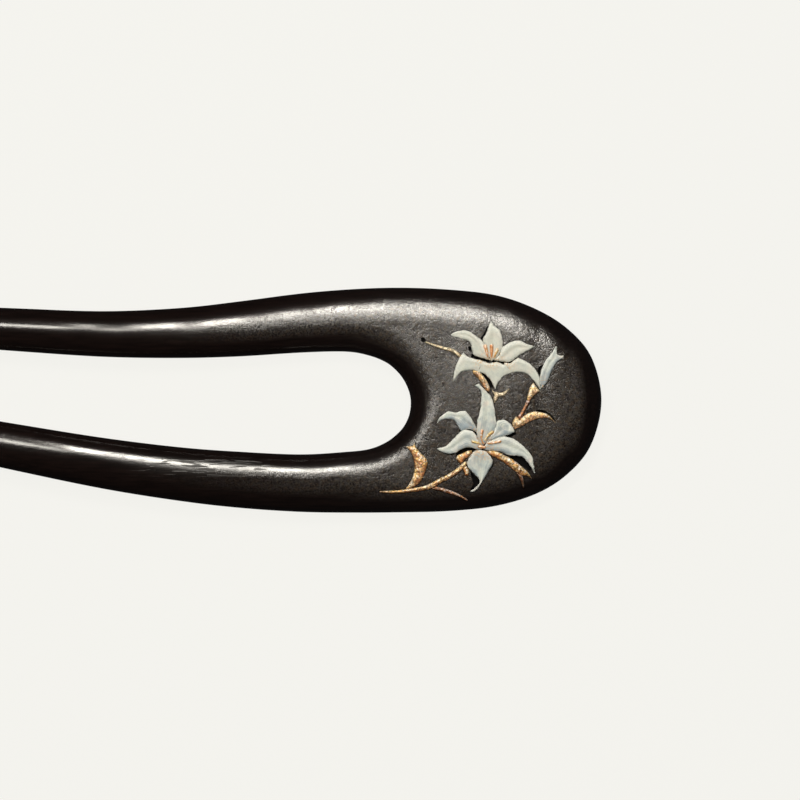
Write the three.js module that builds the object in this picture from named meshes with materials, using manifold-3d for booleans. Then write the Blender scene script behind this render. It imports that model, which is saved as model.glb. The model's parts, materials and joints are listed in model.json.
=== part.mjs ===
// A two-pronged hair fork carved from one piece of ebony. Its flat head holds two lilies and a side
// bud, cut from shell, with gilt stems and leaves. Each petal, stem and leaf is a thin plate that sits
// in its own pocket and stands a little proud of the wood; the stamens are laid on top of the petals.
//
// Millimetres. +X runs from the prongs to the head's end, +Y across, and +Z out of the decorated face.
// The origin is on the flat back of the head, under the middle of the flowers.
import * as THREE from "three";
import { mergeVertices } from "three/addons/utils/BufferGeometryUtils.js";
import Module from "manifold-3d";

const wasm = await Module();
wasm.setup();

// ---- driving dimensions -------------------------------------------------------------------------
const TIP_X = -152; // the ends of the prongs; the head ends at x = 18, so the fork is 170 long
const HEAD_THICKNESS = 7.6; // where the face is flat
const CROWN = 0.9; // how much the decorated face is domed in the middle of the head
const CROWN_LENGTH = 22; // from the middle to where the dome has lost two thirds of its height
const CROWN_WIDTH = 16;
const TIP_THICKNESS = 4.6;
const TAPER_FROM_X = -25; // the head keeps its full thickness up to here
const TAPER_POWER = 1.3;
const BACK_SHARE = 0.475; // the part of the thickness that lies behind the widest line
const ARCH = 2.2; // how far the prongs rise off the table halfway along
const NOSE = 5; // length of the rounded end of a prong
const OUTER_ROUND = 6.5; // width of the rounding along the outer edge of the decorated face
const PRONG_SLOT_ROUND = { lower: 4.9, upper: 3.9 }; // width of the rounding along the slot
const HEAD_SLOT_ROUND = { lower: 4.6, upper: 5.9 }; // the same round the slot's end in the head
const SLOT_ROUND_FROM_X = -45; // where the one starts to become the other
const SLOT_ROUND_TO_X = -20;
const SLOT_SIDE_BLEND = 5; // and how far across the head the lower becomes the upper
const MOST_SLOT_SHARE = 0.57; // of the wood's width that the slot's rounding may take
const BACK_ROUND = 4; // width of the rounding all round the back face

const POCKET_DEPTH = 1; // inlay below the wood's surface
const PROUD = 0.25; // inlay above the wood's surface
const GLUE = 0.05; // under an inlay
const FIT_GAP = 0.12; // between an inlay and the wall of its pocket
const PLATE_GAP = 0.1; // between two plates that meet
const STAMEN_GAP = 0.03;
const STAMEN_HEIGHT = 0.3;
const INLAY_FLOOR_Z = 4.4; // inlays stay above this height and below the next
const INLAY_CEILING_Z = 9.8;

// ---- the fork's plan ----------------------------------------------------------------------------
// Along a prong: x, y of the outer edge, y of the slot's edge. Both prongs swing gently to one side.
const UPPER_PRONG = [
  [-147, 16.5, 11.4],
  [-130, 17.45, 11.35],
  [-112, 17.7, 10.7],
  [-94.4, 17.3, 9.4],
  [-75.7, 16.65, 8.15],
  [-60.8, 17.25, 7.9],
  [-49.6, 18.5, 8.2],
  [-38.4, 19.95, 8.9],
];
const LOWER_PRONG = [
  [-147, -2.5, 2.75],
  [-130, -5.2, 1.25],
  [-112, -8.65, -1],
  [-94.4, -12.5, -3.9],
  [-75.7, -16.4, -6.9],
  [-60.8, -18.8, -8.75],
  [-49.6, -20.1, -9.6],
  [-38.4, -20.85, -10.1],
];
// Round the head, from the upper prong to the lower: x and y of the outer edge, x and y of the slot.
const HEAD = [
  [-29, 20.75, -30, 9.1],
  [-20, 21.05, -25.6, 8.4],
  [-10.5, 20.7, -22.3, 7.1],
  [-1.5, 19.6, -20.2, 5.4],
  [6.1, 16.9, -18.9, 3.7],
  [12, 13.1, -18.1, 2],
  [16.2, 7.9, -17.75, 0.7],
  [18, 0, -17.65, -0.5],
  [16.2, -8, -17.75, -1.8],
  [12.2, -13.3, -18.1, -3.2],
  [6.4, -17.2, -18.9, -4.8],
  [-1.5, -19.7, -20.1, -6.2],
  [-10.5, -20.7, -22.2, -7.8],
  [-20, -20.95, -25.4, -9.1],
  [-29, -21, -30, -9.65],
];
const UPPER_TIP = new THREE.Vector2(TIP_X, 13.75);
const LOWER_TIP = new THREE.Vector2(TIP_X, 0.3);

const STATIONS_PER_KEY = 3;
const PLAN_POINTS_PER_KEY = 10;
const NOSE_STATIONS = [0.25, 0.9, 2, 3.4]; // distances from the tip
const EDGE_SEGMENTS = 5; // across a rounding
const FLAT_SEGMENTS = 2; // between the two roundings
const MOST_OUTER_SHARE = 0.55; // of a cross-section's vertices' way that the outer rounding takes
const MOST_INNER_SHARE = 0.4;
const SIDE_STEPS = 2; // curve steps between two points of a plate's outline
const STRIP_STEPS = 3; // and between two keys of a strip
const STRIP_END = 0.8; // how far a strip's rounded end reaches, as a share of its half width
const SHARPEST_MITRE = 0.6; // keeps a grown outline from running out too far at its tips

const { clamp, lerp } = THREE.MathUtils;
const vector2 = ([x, y]) => new THREE.Vector2(x, y);

const outerKeys = [
  ...UPPER_PRONG.map(([x, outer]) => [x, outer]),
  ...HEAD.map(([x, y]) => [x, y]),
  ...LOWER_PRONG.map(([x, outer]) => [x, outer]).reverse(),
];
const slotKeys = [
  ...UPPER_PRONG.map(([x, , slot]) => [x, slot]),
  ...HEAD.map(([, , x, y]) => [x, y]),
  ...LOWER_PRONG.map(([x, , slot]) => [x, slot]).reverse(),
];

// The quarter circle that every rounding follows: 0 at an edge, 1 from a full width inwards.
const rounding = (share) => Math.sqrt(1 - (1 - clamp(share, 0, 1)) ** 2);

// A prong's rounded end: pairs of edge points that close in on the tip.
function nosePairs(tip, [x, outer, slot]) {
  const middle = new THREE.Vector2(x, (outer + slot) / 2);
  return NOSE_STATIONS.map((fromTip) => {
    const centre = tip.clone().lerp(middle, fromTip / NOSE);
    const half = ((outer - slot) / 2) * rounding(fromTip / NOSE);
    return [
      centre.clone().add(new THREE.Vector2(0, half)),
      centre.clone().sub(new THREE.Vector2(0, half)),
    ];
  });
}

// Pairs of points [outer edge, slot edge] from the upper tip round the head to the lower tip.
function edgePairs(pointsPerKey) {
  const count = (outerKeys.length - 1) * pointsPerKey;
  const outer = new THREE.SplineCurve(outerKeys.map(vector2)).getPoints(count);
  const slot = new THREE.SplineCurve(slotKeys.map(vector2)).getPoints(count);
  return [
    ...nosePairs(UPPER_TIP, UPPER_PRONG[0]),
    ...outer.map((point, i) => [point, slot[i]]),
    ...nosePairs(LOWER_TIP, LOWER_PRONG[0]).reverse(),
  ];
}

const planPairs = edgePairs(PLAN_POINTS_PER_KEY);
const outerEdge = [UPPER_TIP, ...planPairs.map(([outer]) => outer), LOWER_TIP];
const slotEdge = [UPPER_TIP, ...planPairs.map(([, slot]) => slot), LOWER_TIP];

function distanceTo(edge, point) {
  let nearest = Infinity;
  for (let i = 1; i < edge.length; i++) {
    const along = edge[i].clone().sub(edge[i - 1]);
    const offset = point.clone().sub(edge[i - 1]);
    const share = clamp(offset.dot(along) / along.lengthSq(), 0, 1);
    nearest = Math.min(nearest, offset.addScaledVector(along, -share).length());
  }
  return nearest;
}

// ---- the fork's heights -------------------------------------------------------------------------
const alongProng = (x) => clamp((TAPER_FROM_X - x) / (TAPER_FROM_X - TIP_X), 0, 1);
const thickness = (x) => lerp(HEAD_THICKNESS, TIP_THICKNESS, alongProng(x) ** TAPER_POWER);
const widestZ = (x) => thickness(x) * BACK_SHARE + ARCH * Math.sin(Math.PI * alongProng(x)) ** 2;
const nose = (x) => rounding((x - TIP_X) / NOSE);
const crown = ({ x, y }) => CROWN * Math.exp(-((x / CROWN_LENGTH) ** 2) - (y / CROWN_WIDTH) ** 2);

// A straight line through the slot, from its round end to between the tips.
const slotMiddle = (x) => lerp(UPPER_TIP.y, LOWER_TIP.y, 0.5) * clamp(x / TIP_X, 0, 1);

function slotRounding({ x, y }) {
  const upper = clamp((y - slotMiddle(x)) / SLOT_SIDE_BLEND + 1, 0, 1);
  const head = clamp((x - SLOT_ROUND_FROM_X) / (SLOT_ROUND_TO_X - SLOT_ROUND_FROM_X), 0, 1);
  const onProng = lerp(PRONG_SLOT_ROUND.lower, PRONG_SLOT_ROUND.upper, upper);
  const onHead = lerp(HEAD_SLOT_ROUND.lower, HEAD_SLOT_ROUND.upper, upper);
  return lerp(onProng, onHead, head);
}

function frontZ(point) {
  const fromOuter = distanceTo(outerEdge, point);
  const fromSlot = distanceTo(slotEdge, point);
  const width = fromOuter + fromSlot;
  const slotRound = Math.min(slotRounding(point), width * MOST_SLOT_SHARE);
  const outerRound = Math.min(OUTER_ROUND, width - slotRound);
  const rise = thickness(point.x) * (1 - BACK_SHARE) * nose(point.x) + crown(point);
  return widestZ(point.x) + rise * rounding(fromOuter / outerRound) * rounding(fromSlot / slotRound);
}

function backZ(point) {
  const fromOuter = distanceTo(outerEdge, point);
  const fromSlot = distanceTo(slotEdge, point);
  const round = Math.min(BACK_ROUND, (fromOuter + fromSlot) / 2);
  const drop = thickness(point.x) * BACK_SHARE * nose(point.x);
  return widestZ(point.x) - drop * rounding(Math.min(fromOuter, fromSlot) / round);
}

// Where a cross-section's vertices lie, as shares of the way from the outer edge to the slot.
function sectionShares(length, slotRound) {
  const outer = Math.min(OUTER_ROUND / length, MOST_OUTER_SHARE);
  const slot = Math.min(slotRound / length, MOST_INNER_SHARE);
  const shares = [];
  for (let i = 0; i < EDGE_SEGMENTS; i++)
    shares.push(outer * (1 - Math.cos(((i / EDGE_SEGMENTS) * Math.PI) / 2)));
  for (let i = 0; i < FLAT_SEGMENTS; i++) shares.push(lerp(outer, 1 - slot, i / FLAT_SEGMENTS));
  for (let i = 0; i <= EDGE_SEGMENTS; i++)
    shares.push(1 - slot * (1 - Math.sin(((i / EDGE_SEGMENTS) * Math.PI) / 2)));
  return shares;
}

// One ring of vertices: over the front from the outer edge to the slot, then back underneath.
function ringAt([outer, slot]) {
  const shares = sectionShares(outer.distanceTo(slot), slotRounding(slot));
  const points = shares.map((share) => outer.clone().lerp(slot, share));
  const front = points.map((p) => [p.x, p.y, frontZ(p)]);
  const back = points.slice(1, -1).reverse();
  return [...front, ...back.map((p) => [p.x, p.y, backZ(p)])];
}

// The whole fork before any pocket is cut: rings round the U, closed by a point at each tip.
function forkGeometry() {
  const rings = edgePairs(STATIONS_PER_KEY).map(ringAt);
  const tips = [UPPER_TIP, LOWER_TIP].map((tip) => [tip.x, tip.y, widestZ(tip.x)]);
  const size = rings[0].length;
  const first = rings.length * size;
  const faces = [];
  for (let j = 0; j < size; j++) {
    const next = (j + 1) % size;
    const last = (rings.length - 1) * size;
    faces.push(first, next, j);
    faces.push(first + 1, last + j, last + next);
    for (let k = 0; k < last; k += size) {
      faces.push(k + j, k + next, k + size + next);
      faces.push(k + j, k + size + next, k + size + j);
    }
  }
  const geometry = new THREE.BufferGeometry();
  const positions = [...rings.flat(), ...tips].flat();
  geometry.setAttribute("position", new THREE.Float32BufferAttribute(positions, 3));
  geometry.setIndex(faces);
  return geometry;
}

// ---- solids -------------------------------------------------------------------------------------
function solidOf(geometry) {
  const bare = geometry.clone();
  bare.deleteAttribute("normal");
  bare.deleteAttribute("uv");
  const merged = mergeVertices(bare, 1e-4);
  return new wasm.Manifold(
    new wasm.Mesh({
      numProp: 3,
      vertProperties: new Float32Array(merged.attributes.position.array),
      triVerts: new Uint32Array(merged.index.array),
    }),
  );
}

function geometryOf(solid) {
  const mesh = solid.getMesh();
  const geometry = new THREE.BufferGeometry();
  geometry.setAttribute("position", new THREE.BufferAttribute(mesh.vertProperties, 3));
  geometry.setIndex(new THREE.BufferAttribute(mesh.triVerts, 1));
  return geometry;
}

const blankGeometry = forkGeometry();
const blank = solidOf(blankGeometry);
const raisedBlank = (height) => solidOf(blankGeometry.clone().translate(0, 0, height));

// An upright prism on an outline, through the whole height that inlays use.
function prism(outline) {
  const depth = INLAY_CEILING_Z - INLAY_FLOOR_Z;
  const geometry = new THREE.ExtrudeGeometry(new THREE.Shape(outline), { depth, bevelEnabled: false });
  return solidOf(geometry.translate(0, 0, INLAY_FLOOR_Z));
}

// ---- outlines -----------------------------------------------------------------------------------
function counterclockwise(points) {
  return THREE.ShapeUtils.isClockWise(points) ? points.reverse() : points;
}

// A closed outline of smooth sides. Each side starts at a corner and ends at the next side's corner.
function plate(...sides) {
  const points = sides.flatMap((side, i) => {
    const corner = sides[(i + 1) % sides.length][0];
    const curve = new THREE.SplineCurve([...side, corner].map(vector2));
    return side.length === 1 ? [vector2(side[0])] : curve.getPoints(side.length * SIDE_STEPS).slice(0, -1);
  });
  return counterclockwise(points);
}

// A narrow strip along a curve. Each key is x, y and half the width there; both ends are rounded.
function strip(...keys) {
  const spine = new THREE.CatmullRomCurve3(keys.map((key) => new THREE.Vector3(...key)));
  const count = (keys.length - 1) * STRIP_STEPS;
  const sides = [[], []];
  const ends = [];
  for (let i = 0; i <= count; i++) {
    const { x, y, z: half } = spine.getPoint(i / count);
    const tangent = spine.getTangent(i / count);
    const along = new THREE.Vector2(tangent.x, tangent.y).normalize();
    const across = new THREE.Vector2(-along.y, along.x);
    const centre = new THREE.Vector2(x, y);
    sides[0].push(centre.clone().addScaledVector(across, half));
    sides[1].push(centre.clone().addScaledVector(across, -half));
    if (i === 0) ends.push(centre.clone().addScaledVector(along, -half * STRIP_END));
    if (i === count) ends.push(centre.clone().addScaledVector(along, half * STRIP_END));
  }
  return counterclockwise([ends[0], ...sides[0], ends[1], ...sides[1].reverse()]);
}

// The outline moved outwards by a distance.
function grown(outline, distance) {
  return outline.map((point, i) => {
    const before = outline.at(i - 1);
    const after = outline[(i + 1) % outline.length];
    const inward = point.clone().sub(before).normalize();
    const outward = after.clone().sub(point).normalize();
    const bisector = new THREE.Vector2(inward.y + outward.y, -inward.x - outward.x);
    const sharpness = Math.max(bisector.length() / 2, SHARPEST_MITRE);
    return point.clone().addScaledVector(bisector.normalize(), distance / sharpness);
  });
}

// ---- materials ----------------------------------------------------------------------------------
const ebony = new THREE.MeshStandardMaterial({ color: 0x2b2422, roughness: 0.38, metalness: 0 });
const shell = new THREE.MeshStandardMaterial({ color: 0xc6cabd, roughness: 0.35, metalness: 0 });
const gilt = new THREE.MeshStandardMaterial({ color: 0xcea672, roughness: 0.4, metalness: 0.8 });
const copper = new THREE.MeshStandardMaterial({ color: 0xb47a52, roughness: 0.4, metalness: 0.8 });

// ---- inlay --------------------------------------------------------------------------------------
// A plate is the prism on its outline, kept between two copies of the fork's own surface, so that it
// follows the rounding of the wood. Plates that were laid earlier lie in front and cut the later ones.
const plateTop = raisedBlank(PROUD);
const plateBottom = raisedBlank(-POCKET_DEPTH);
const pocketFloor = raisedBlank(-POCKET_DEPTH - GLUE);
const stamenTop = raisedBlank(PROUD + STAMEN_GAP + STAMEN_HEIGHT);
const stamenBottom = raisedBlank(PROUD + STAMEN_GAP);

const laidPlates = [];
const laidStamens = [];
let wood = blank;

// A named mesh whose own origin is its middle.
function named(name, solid, material) {
  const geometry = geometryOf(solid);
  geometry.computeBoundingBox();
  const middle = geometry.boundingBox.getCenter(new THREE.Vector3());
  const mesh = new THREE.Mesh(geometry.translate(-middle.x, -middle.y, -middle.z), material);
  mesh.name = name;
  mesh.position.copy(middle);
  return mesh;
}

const clearOf = (laid, solid) => laid.reduce((rest, neighbour) => rest.subtract(neighbour), solid);

function inlay(name, material, outline) {
  const between = prism(outline).intersect(plateTop).subtract(plateBottom);
  const solid = clearOf(laidPlates, between);
  laidPlates.push(prism(grown(outline, PLATE_GAP)));
  wood = wood.subtract(prism(grown(outline, FIT_GAP)).subtract(pocketFloor));
  return named(name, solid, material);
}

function stamen(name, material, outline) {
  const between = prism(outline).intersect(stamenTop).subtract(stamenBottom);
  const solid = clearOf(laidStamens, between);
  laidStamens.push(prism(grown(outline, PLATE_GAP)));
  return named(name, solid, material);
}

// ---- the lower lily: six open petals ------------------------------------------------------------
const lowerLily = new THREE.Group();
lowerLily.add(
  inlay(
    "lower_lily_top_petal",
    shell,
    plate(
      [
        [-4.5, -8.55], [-5.25, -7.05], [-5.25, -5.55], [-5.2, -3.85],
        [-4.8, -2.35], [-4.45, 0.6], [-4.7, 1.95],
      ],
      [[-5.75, 2.75]],
      [
        [-5, 3.15], [-4.15, 2.2], [-3.2, 1.2], [-2.45, 0.05],
        [-1.85, -3.3], [-1.9, -5], [-2.65, -6.5], [-3.6, -7.8],
      ],
    ),
  ),
  inlay(
    "lower_lily_lower_right_petal",
    shell,
    plate(
      [
        [-4.15, -9.1], [-3.6, -8.15], [-2.65, -7.5], [-0.4, -6.75],
        [0.9, -7.05], [2.4, -7.8], [4.65, -10.05], [5.2, -11.7],
      ],
      [
        [5.45, -13.6], [4.8, -12.45], [4.05, -11.35], [2.95, -10.4],
        [0.5, -10.2], [-0.6, -9.55], [-3.2, -9.3],
      ],
    ),
  ),
  inlay(
    "lower_lily_left_petal",
    shell,
    plate(
      [
        [-12.75, -9], [-11.45, -8.75], [-10.5, -8.05], [-8.25, -5.85],
        [-7.15, -5.6], [-6, -5.95], [-4.35, -8],
      ],
      [
        [-4.35, -9.1], [-5.45, -9.1], [-6.6, -8.75], [-7.9, -8.9],
        [-9.4, -9.75], [-10.7, -9.9], [-12, -9.5],
      ],
    ),
  ),
  inlay(
    "lower_lily_bottom_petal",
    shell,
    plate(
      [
        [-4.45, -9.35], [-5.85, -9.6], [-7.15, -11.7], [-6.4, -13.05],
        [-4.85, -14.8], [-5.1, -15.85], [-6, -16.6],
      ],
      [
        [-6.6, -17.05], [-5.45, -16.75], [-4.05, -14.6], [-2.5, -11.9],
        [-2.5, -11], [-3.05, -10.2], [-3.8, -9.45],
      ],
    ),
  ),
  inlay(
    "lower_lily_right_petal",
    shell,
    plate(
      [
        [-3.6, -8], [-2.85, -6.65], [-1.7, -4.15], [-0.95, -3.7],
        [-0.05, -3.75], [0.9, -4.45], [1.5, -5.35],
      ],
      [[1.55, -5.85], [0.7, -6.3], [-0.4, -6.6], [-1.55, -7.05], [-2.65, -7.6]],
    ),
  ),
  inlay(
    "lower_lily_upper_left_petal",
    shell,
    plate(
      [
        [-12.75, -4.25], [-12.2, -3.2], [-10.6, -2.05], [-9.4, -2.35],
        [-7.5, -2], [-5.95, -4.25], [-5.25, -5.75],
      ],
      [
        [-5.1, -6.1], [-6.2, -5.45], [-7.35, -5.35], [-8.25, -5.6],
        [-9.5, -3.7], [-10.5, -3.45], [-11.8, -3.55],
      ],
    ),
  ),
  stamen(
    "lower_lily_gold_stamen",
    gilt,
    strip([-3.85, -7.5, 0.15], [-3.2, -6.5, 0.25], [-2.35, -5.85, 0.3]),
  ),
  stamen(
    "lower_lily_upper_stamen",
    copper,
    strip([-4.15, -8.1, 0.15], [-4.5, -6.85, 0.2], [-4.35, -5.55, 0.3]),
  ),
  stamen(
    "lower_lily_right_stamen",
    copper,
    strip([-3.35, -8.05, 0.15], [-2.3, -7.95, 0.2], [-0.95, -7.6, 0.3]),
  ),
  stamen(
    "lower_lily_left_stamen",
    gilt,
    strip([-4.75, -8, 0.15], [-5.45, -7.9, 0.2], [-6.2, -7.6, 0.3]),
  ),
  stamen("lower_lily_pistil", copper, strip([-5, -8.6, 0.25], [-4.35, -8.7, 0.3], [-3.7, -8.75, 0.2])),
);

// ---- the upper lily: three petals behind, three curling forwards ---------------------------------
const upperLily = new THREE.Group();
upperLily.add(
  inlay(
    "upper_lily_top_petal",
    shell,
    plate(
      [[-2.65, 7.35], [-3.4, 9.05], [-4.05, 10.7], [-4.15, 11.55], [-3.6, 12.4], [-3.2, 13.5]],
      [
        [-2.65, 14.85], [-2.1, 13.9], [-1.15, 13.15], [-0.7, 11.85],
        [-0.55, 10.35], [-0.95, 9.05], [-1.7, 7.9],
      ],
    ),
  ),
  inlay(
    "upper_lily_front_petal",
    shell,
    plate(
      [[-1.9, 2.1], [-2.35, 3.05], [-3.05, 4.15], [-3.95, 5]],
      [[-4.9, 5.55], [-4.5, 6.8]],
      [[-4.15, 7.3], [-3.05, 6.9], [-1.7, 7.1], [-0.6, 6.7]],
      [[0.15, 6.4], [0.7, 5.65]],
      [[0.9, 5.1], [-0.2, 4.65], [-0.95, 3.9], [-1.55, 2.95]],
    ),
  ),
  inlay(
    "upper_lily_left_petal",
    shell,
    plate(
      [
        [-10.2, 12.2], [-9.2, 12.75], [-7.7, 13], [-6.4, 12.6],
        [-4.25, 10.9], [-3.6, 9.4], [-2.85, 7.9],
      ],
      [
        [-2.65, 7.45], [-3.6, 7.7], [-5.75, 8.45], [-6.2, 9.4],
        [-6.4, 10.5], [-7.15, 11.2], [-9.55, 11.85],
      ],
    ),
  ),
  inlay(
    "upper_lily_right_petal",
    shell,
    plate(
      [[-2.65, 7.55], [-1.7, 8.85], [-0.6, 9.85], [0.5, 10.6], [1.65, 11], [2.75, 11.1], [3.9, 10.5]],
      [[5.4, 10], [4.25, 9.3], [2.95, 8.65], [1.85, 7.9], [0.9, 7.3], [-0.4, 7.25], [-1.55, 7.45]],
    ),
  ),
  inlay(
    "upper_lily_front_left_petal",
    shell,
    plate(
      [[-9.75, 3.6], [-9.5, 5.3], [-9, 6.95], [-8.35, 8.1]],
      [[-7.85, 8.9], [-7.15, 8.2], [-6, 7.75], [-4.7, 7.45]],
      [[-3.95, 7.15], [-4.15, 6.4]],
      [[-4.35, 5.1], [-5.25, 5.5], [-6.4, 5.65], [-7.7, 5.5], [-8.65, 4.95]],
    ),
  ),
  inlay(
    "upper_lily_front_right_petal",
    shell,
    plate(
      [[6.55, 2.05], [6.3, 4.15], [5.65, 5.55], [4.65, 6.7], [3.5, 7.4]],
      [[2.3, 7.9], [1.65, 7.45], [0.9, 6.9]],
      [[-0.15, 7], [-0.2, 6.05]],
      [[0.15, 4.75], [1.25, 5.2], [2.75, 5.3], [4.05, 4.9], [5.1, 3.9]],
    ),
  ),
  stamen(
    "upper_lily_left_stamen",
    copper,
    strip([-3.8, 10.2, 0.35], [-3.6, 9.4, 0.3], [-3.3, 8.1, 0.15]),
  ),
  stamen(
    "upper_lily_middle_stamen",
    copper,
    strip([-2.6, 10.3, 0.35], [-2.6, 9.4, 0.3], [-2.6, 8.1, 0.15]),
  ),
  stamen(
    "upper_lily_right_stamen",
    gilt,
    strip([-1.5, 9.55, 0.35], [-1.7, 9.05, 0.25], [-2.05, 8.1, 0.15]),
  ),
);

// ---- the side bud, its calyx and its stem -------------------------------------------------------
const sideBud = new THREE.Group();
sideBud.add(
  inlay(
    "bud_petal",
    shell,
    plate(
      [[6.7, 2.2], [6.4, 3.8], [6.7, 5.5], [7.45, 7.25], [8.35, 8.35]],
      [[9.45, 10.1]],
      [[9.65, 8.55], [10.05, 8.3]],
      [[10.85, 8.4]],
      [[10.7, 7.85], [9.8, 7.35], [8.85, 6.05], [8.2, 4.55], [7.55, 3.15]],
    ),
  ),
  inlay(
    "bud_calyx",
    gilt,
    plate(
      [[5.2, 3.25], [4.65, 2.5], [4.3, 1.35], [4.05, 0.15]],
      [[4.55, 0], [5.2, 0.8], [5.95, 1.35]],
      [[6.35, 1.75], [5.9, 2.25], [5.5, 2.8]],
    ),
  ),
  inlay("bud_stem", copper, strip([4.25, -0.1, 0.3], [3.6, -1.45, 0.25], [2.6, -3.2, 0.3])),
);

// ---- stems and leaves ---------------------------------------------------------------------------
const foliage = new THREE.Group();
foliage.add(
  inlay(
    "right_leaf",
    gilt,
    plate(
      [[1.95, -3.05], [1.45, -3.85], [1.35, -4.6]],
      [[1.75, -5.35], [2.95, -4.85], [4.05, -4.2], [5.2, -3.65], [6.5, -3.35], [8, -3.3]],
      [[9.2, -4.1], [8, -2.75], [6.7, -2.3], [5.4, -2.1], [4.05, -2.55], [2.95, -3.4]],
      [[2.6, -3.8], [2.3, -3.3]],
    ),
  ),
  inlay(
    "forked_twig",
    copper,
    plate(
      [[-2.55, 2.1], [-2.2, 1.65], [-1.55, 1.5], [-0.6, 1.45]],
      [[0.7, 2.15], [0.15, 1.35], [-0.4, 0.8], [-1.15, 0.75], [-1.45, 0.35]],
      [[-2, -0.4], [-2.2, 0.35], [-2, 0.9], [-2.3, 1.45]],
    ),
  ),
  inlay(
    "neck_stem",
    gilt,
    strip([-5.75, 5.5, 0.45], [-4.5, 4.15, 0.5], [-3.8, 3.05, 0.5], [-3.2, 1.95, 0.35]),
  ),
  inlay(
    "upper_left_stem",
    gilt,
    strip(
      [-14.8, 10.8, 0.12],
      [-13.1, 10.2, 0.22],
      [-11.5, 9.7, 0.28],
      [-10.2, 9.4, 0.28],
      [-9.2, 8.85, 0.28],
      [-7.9, 7.7, 0.28],
    ),
  ),
  inlay(
    "main_stem",
    gilt,
    strip(
      [-23.4, -17.05, 0.1],
      [-20.6, -17.1, 0.25],
      [-17.8, -16.8, 0.3],
      [-15.55, -16.45, 0.35],
      [-13.85, -15.95, 0.45],
      [-12.2, -15, 0.4],
      [-10.3, -14.05, 0.4],
      [-8.8, -13, 0.4],
      [-7.4, -11.7, 0.35],
    ),
  ),
  inlay(
    "lower_tendril",
    copper,
    strip(
      [-14.05, -16.2, 0.3],
      [-12, -16.6, 0.3],
      [-10.3, -17.15, 0.3],
      [-8.8, -17.7, 0.2],
      [-7.15, -18.65, 0.1],
    ),
  ),
  inlay(
    "left_leaf",
    gilt,
    plate(
      [
        [-18.6, -8.6], [-17.8, -9.35], [-17.25, -10.4], [-16.9, -12.1],
        [-17.05, -13.7], [-17.7, -15.2], [-18.35, -16.2],
      ],
      [
        [-18.75, -16.85], [-18, -16.6], [-16.85, -15.95], [-15.65, -14.8],
        [-14.6, -11.9], [-15, -10.7], [-16.6, -9],
      ],
      [[-16.95, -7.9], [-17.35, -8.55]],
    ),
  ),
  inlay(
    "bract",
    gilt,
    plate(
      [[-6.3, -9.4], [-7.15, -9.5], [-8.05, -9.95], [-8.9, -10.3]],
      [[-9.2, -10.9]],
      [[-8.35, -11.8], [-7.8, -11.25]],
      [[-7.6, -10.95], [-6.85, -10.5]],
      [[-6.3, -9.95]],
    ),
  ),
  inlay("stem_knot", gilt, strip([-7.65, -12.3, 0.3], [-7.35, -13.1, 0.45], [-7.2, -13.85, 0.3])),
  inlay(
    "lower_right_leaf",
    gilt,
    plate(
      [
        [-3.6, -9.55], [-2.45, -9.45], [-1.35, -9.65], [-0.2, -10.3],
        [0.9, -10.8], [2, -11.55], [4.15, -13.4],
      ],
      [
        [4.9, -14.6], [4, -14.05], [2.95, -13.95], [1.85, -13.2],
        [0.7, -12.3], [-0.4, -11.45], [-2.65, -10.2],
      ],
    ),
  ),
  inlay("leaf_tendril", copper, strip([2.4, -13.4, 0.3], [3.05, -14.7, 0.25], [3.4, -16.3, 0.1])),
);

// ---- hollows beside the plates ------------------------------------------------------------------
// Where plates crowd together, or an edge should stand out, the wood is cut away next to the plate.
function hollow(...sides) {
  wood = wood.subtract(prism(plate(...sides)).subtract(pocketFloor));
}

// round the upper lily
hollow(
  [[-3.15, 14.2], [-3.7, 13.2], [-4.2, 12.3]],
  [[-4.8, 11.35], [-4.3, 11.3]],
  [[-3.9, 11.6], [-3.5, 12.8]],
);
hollow([[-6.95, 9.9], [-6.55, 10.1]], [[-6.2, 9.6], [-6.4, 9.2], [-6.85, 9.3]]);
hollow(
  [[-6.2, 8.7], [-5, 8.25], [-3.6, 7.75], [-2.8, 7.5]],
  [[-3.2, 7.05], [-4.2, 7.3], [-5.4, 7.55], [-6.5, 7.9]],
);
hollow(
  [[-2.45, 7.5], [-1.5, 7.4], [-0.4, 7.25], [0.9, 7.3], [1.85, 7.9], [2.7, 8.4]],
  [[2.3, 7.85], [1.65, 7.4], [0.9, 6.85], [-0.15, 6.9]],
  [[-0.6, 6.65], [-1.7, 7], [-2.35, 7.05]],
);
hollow(
  [[-5.2, 5.5], [-4, 4.95], [-3.05, 4.1], [-2.4, 3.05], [-2.3, 2.5]],
  [[-2.9, 2.4], [-3.3, 3.2], [-4, 4.25]],
);
hollow([[6.4, 4.1], [6, 5.5], [6.3, 6.3]], [[6.95, 6.6], [6.6, 5.5]]);
hollow([[-15.8, 11.6], [-15.25, 11.75]], [[-14.8, 11.2], [-15.1, 10.85], [-15.7, 11]]);

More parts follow.
